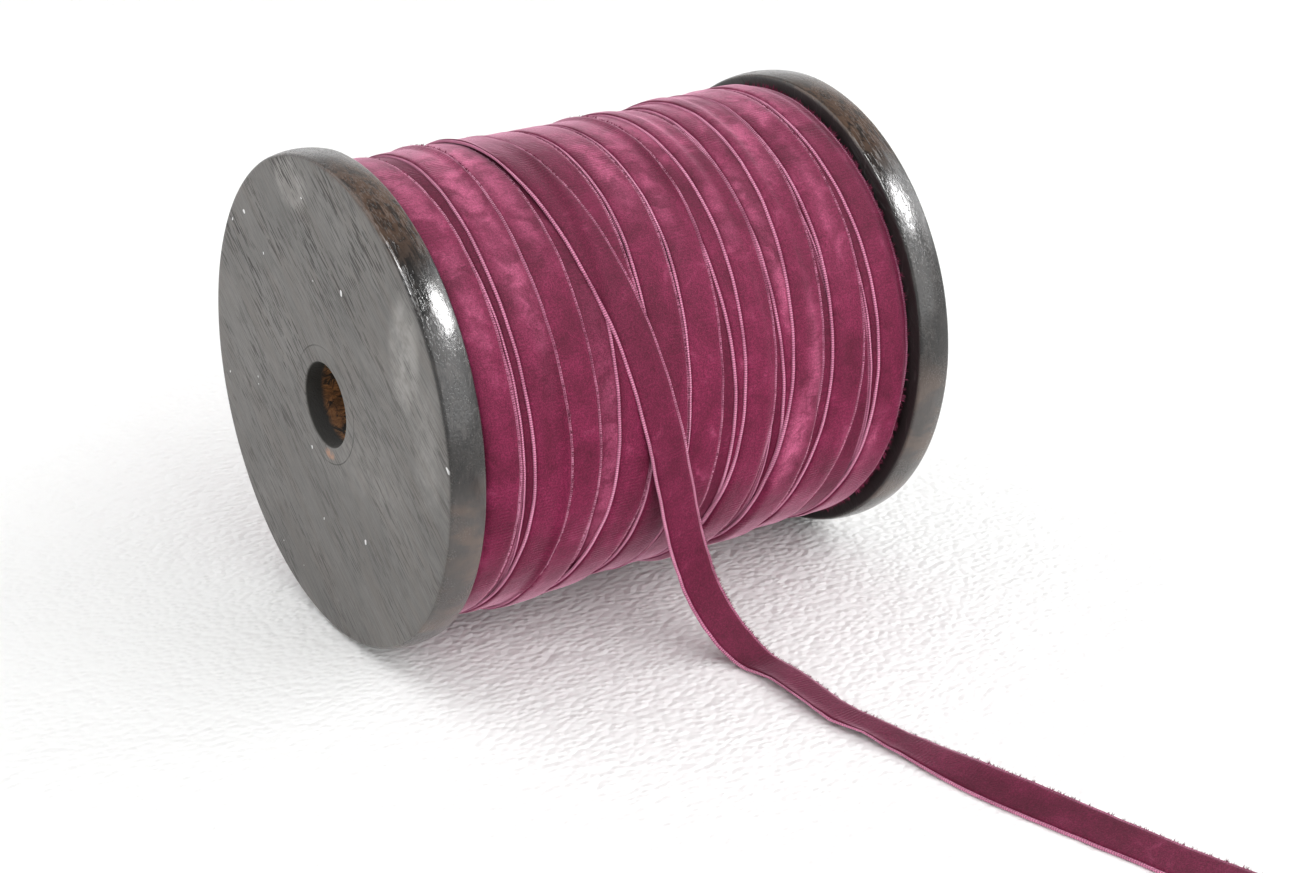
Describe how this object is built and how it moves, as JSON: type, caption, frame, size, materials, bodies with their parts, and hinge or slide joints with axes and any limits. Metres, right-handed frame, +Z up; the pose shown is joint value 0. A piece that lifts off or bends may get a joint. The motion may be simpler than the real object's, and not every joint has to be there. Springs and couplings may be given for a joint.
{
  "type": "ribbon spool",
  "caption": "Wooden spool with two round flanges on a bored core, wound with narrow velvet ribbon whose free end hangs off the front and lies on the table.",
  "frame": {"origin": "on the table, under the middle of the spool's length", "axes": "+X along the spool's axis towards the right flange, -Y to the front where the ribbon leaves, +Z up"},
  "size_m": [0.141, 0.2732, 0.12],
  "materials": {
    "stained_wood": "black-brown stain, worn satin polish, open pores",
    "bare_wood": "raw orange-brown wood with dark deposits in the bore",
    "steel": "plain tack",
    "velvet": "wine-coloured cut-pile velvet with paler woven selvedges"
  },
  "bodies": {
    "root": {"flange_left": "stained_wood", "flange_right": "stained_wood", "core_barrel": "bare_wood", "end_tack": "steel", "ribbon_pack": "velvet", "outer_turn_01": "velvet", "outer_turn_02": "velvet", "outer_turn_03": "velvet", "outer_turn_04": "velvet", "outer_turn_05": "velvet", "outer_turn_06": "velvet", "outer_turn_07": "velvet", "outer_turn_08": "velvet", "outer_turn_09": "velvet", "outer_turn_10": "velvet", "outer_turn_11": "velvet", "outer_turn_12": "velvet", "last_turn": "velvet", "ribbon_tail": "velvet"}
  },
  "joints": []
}
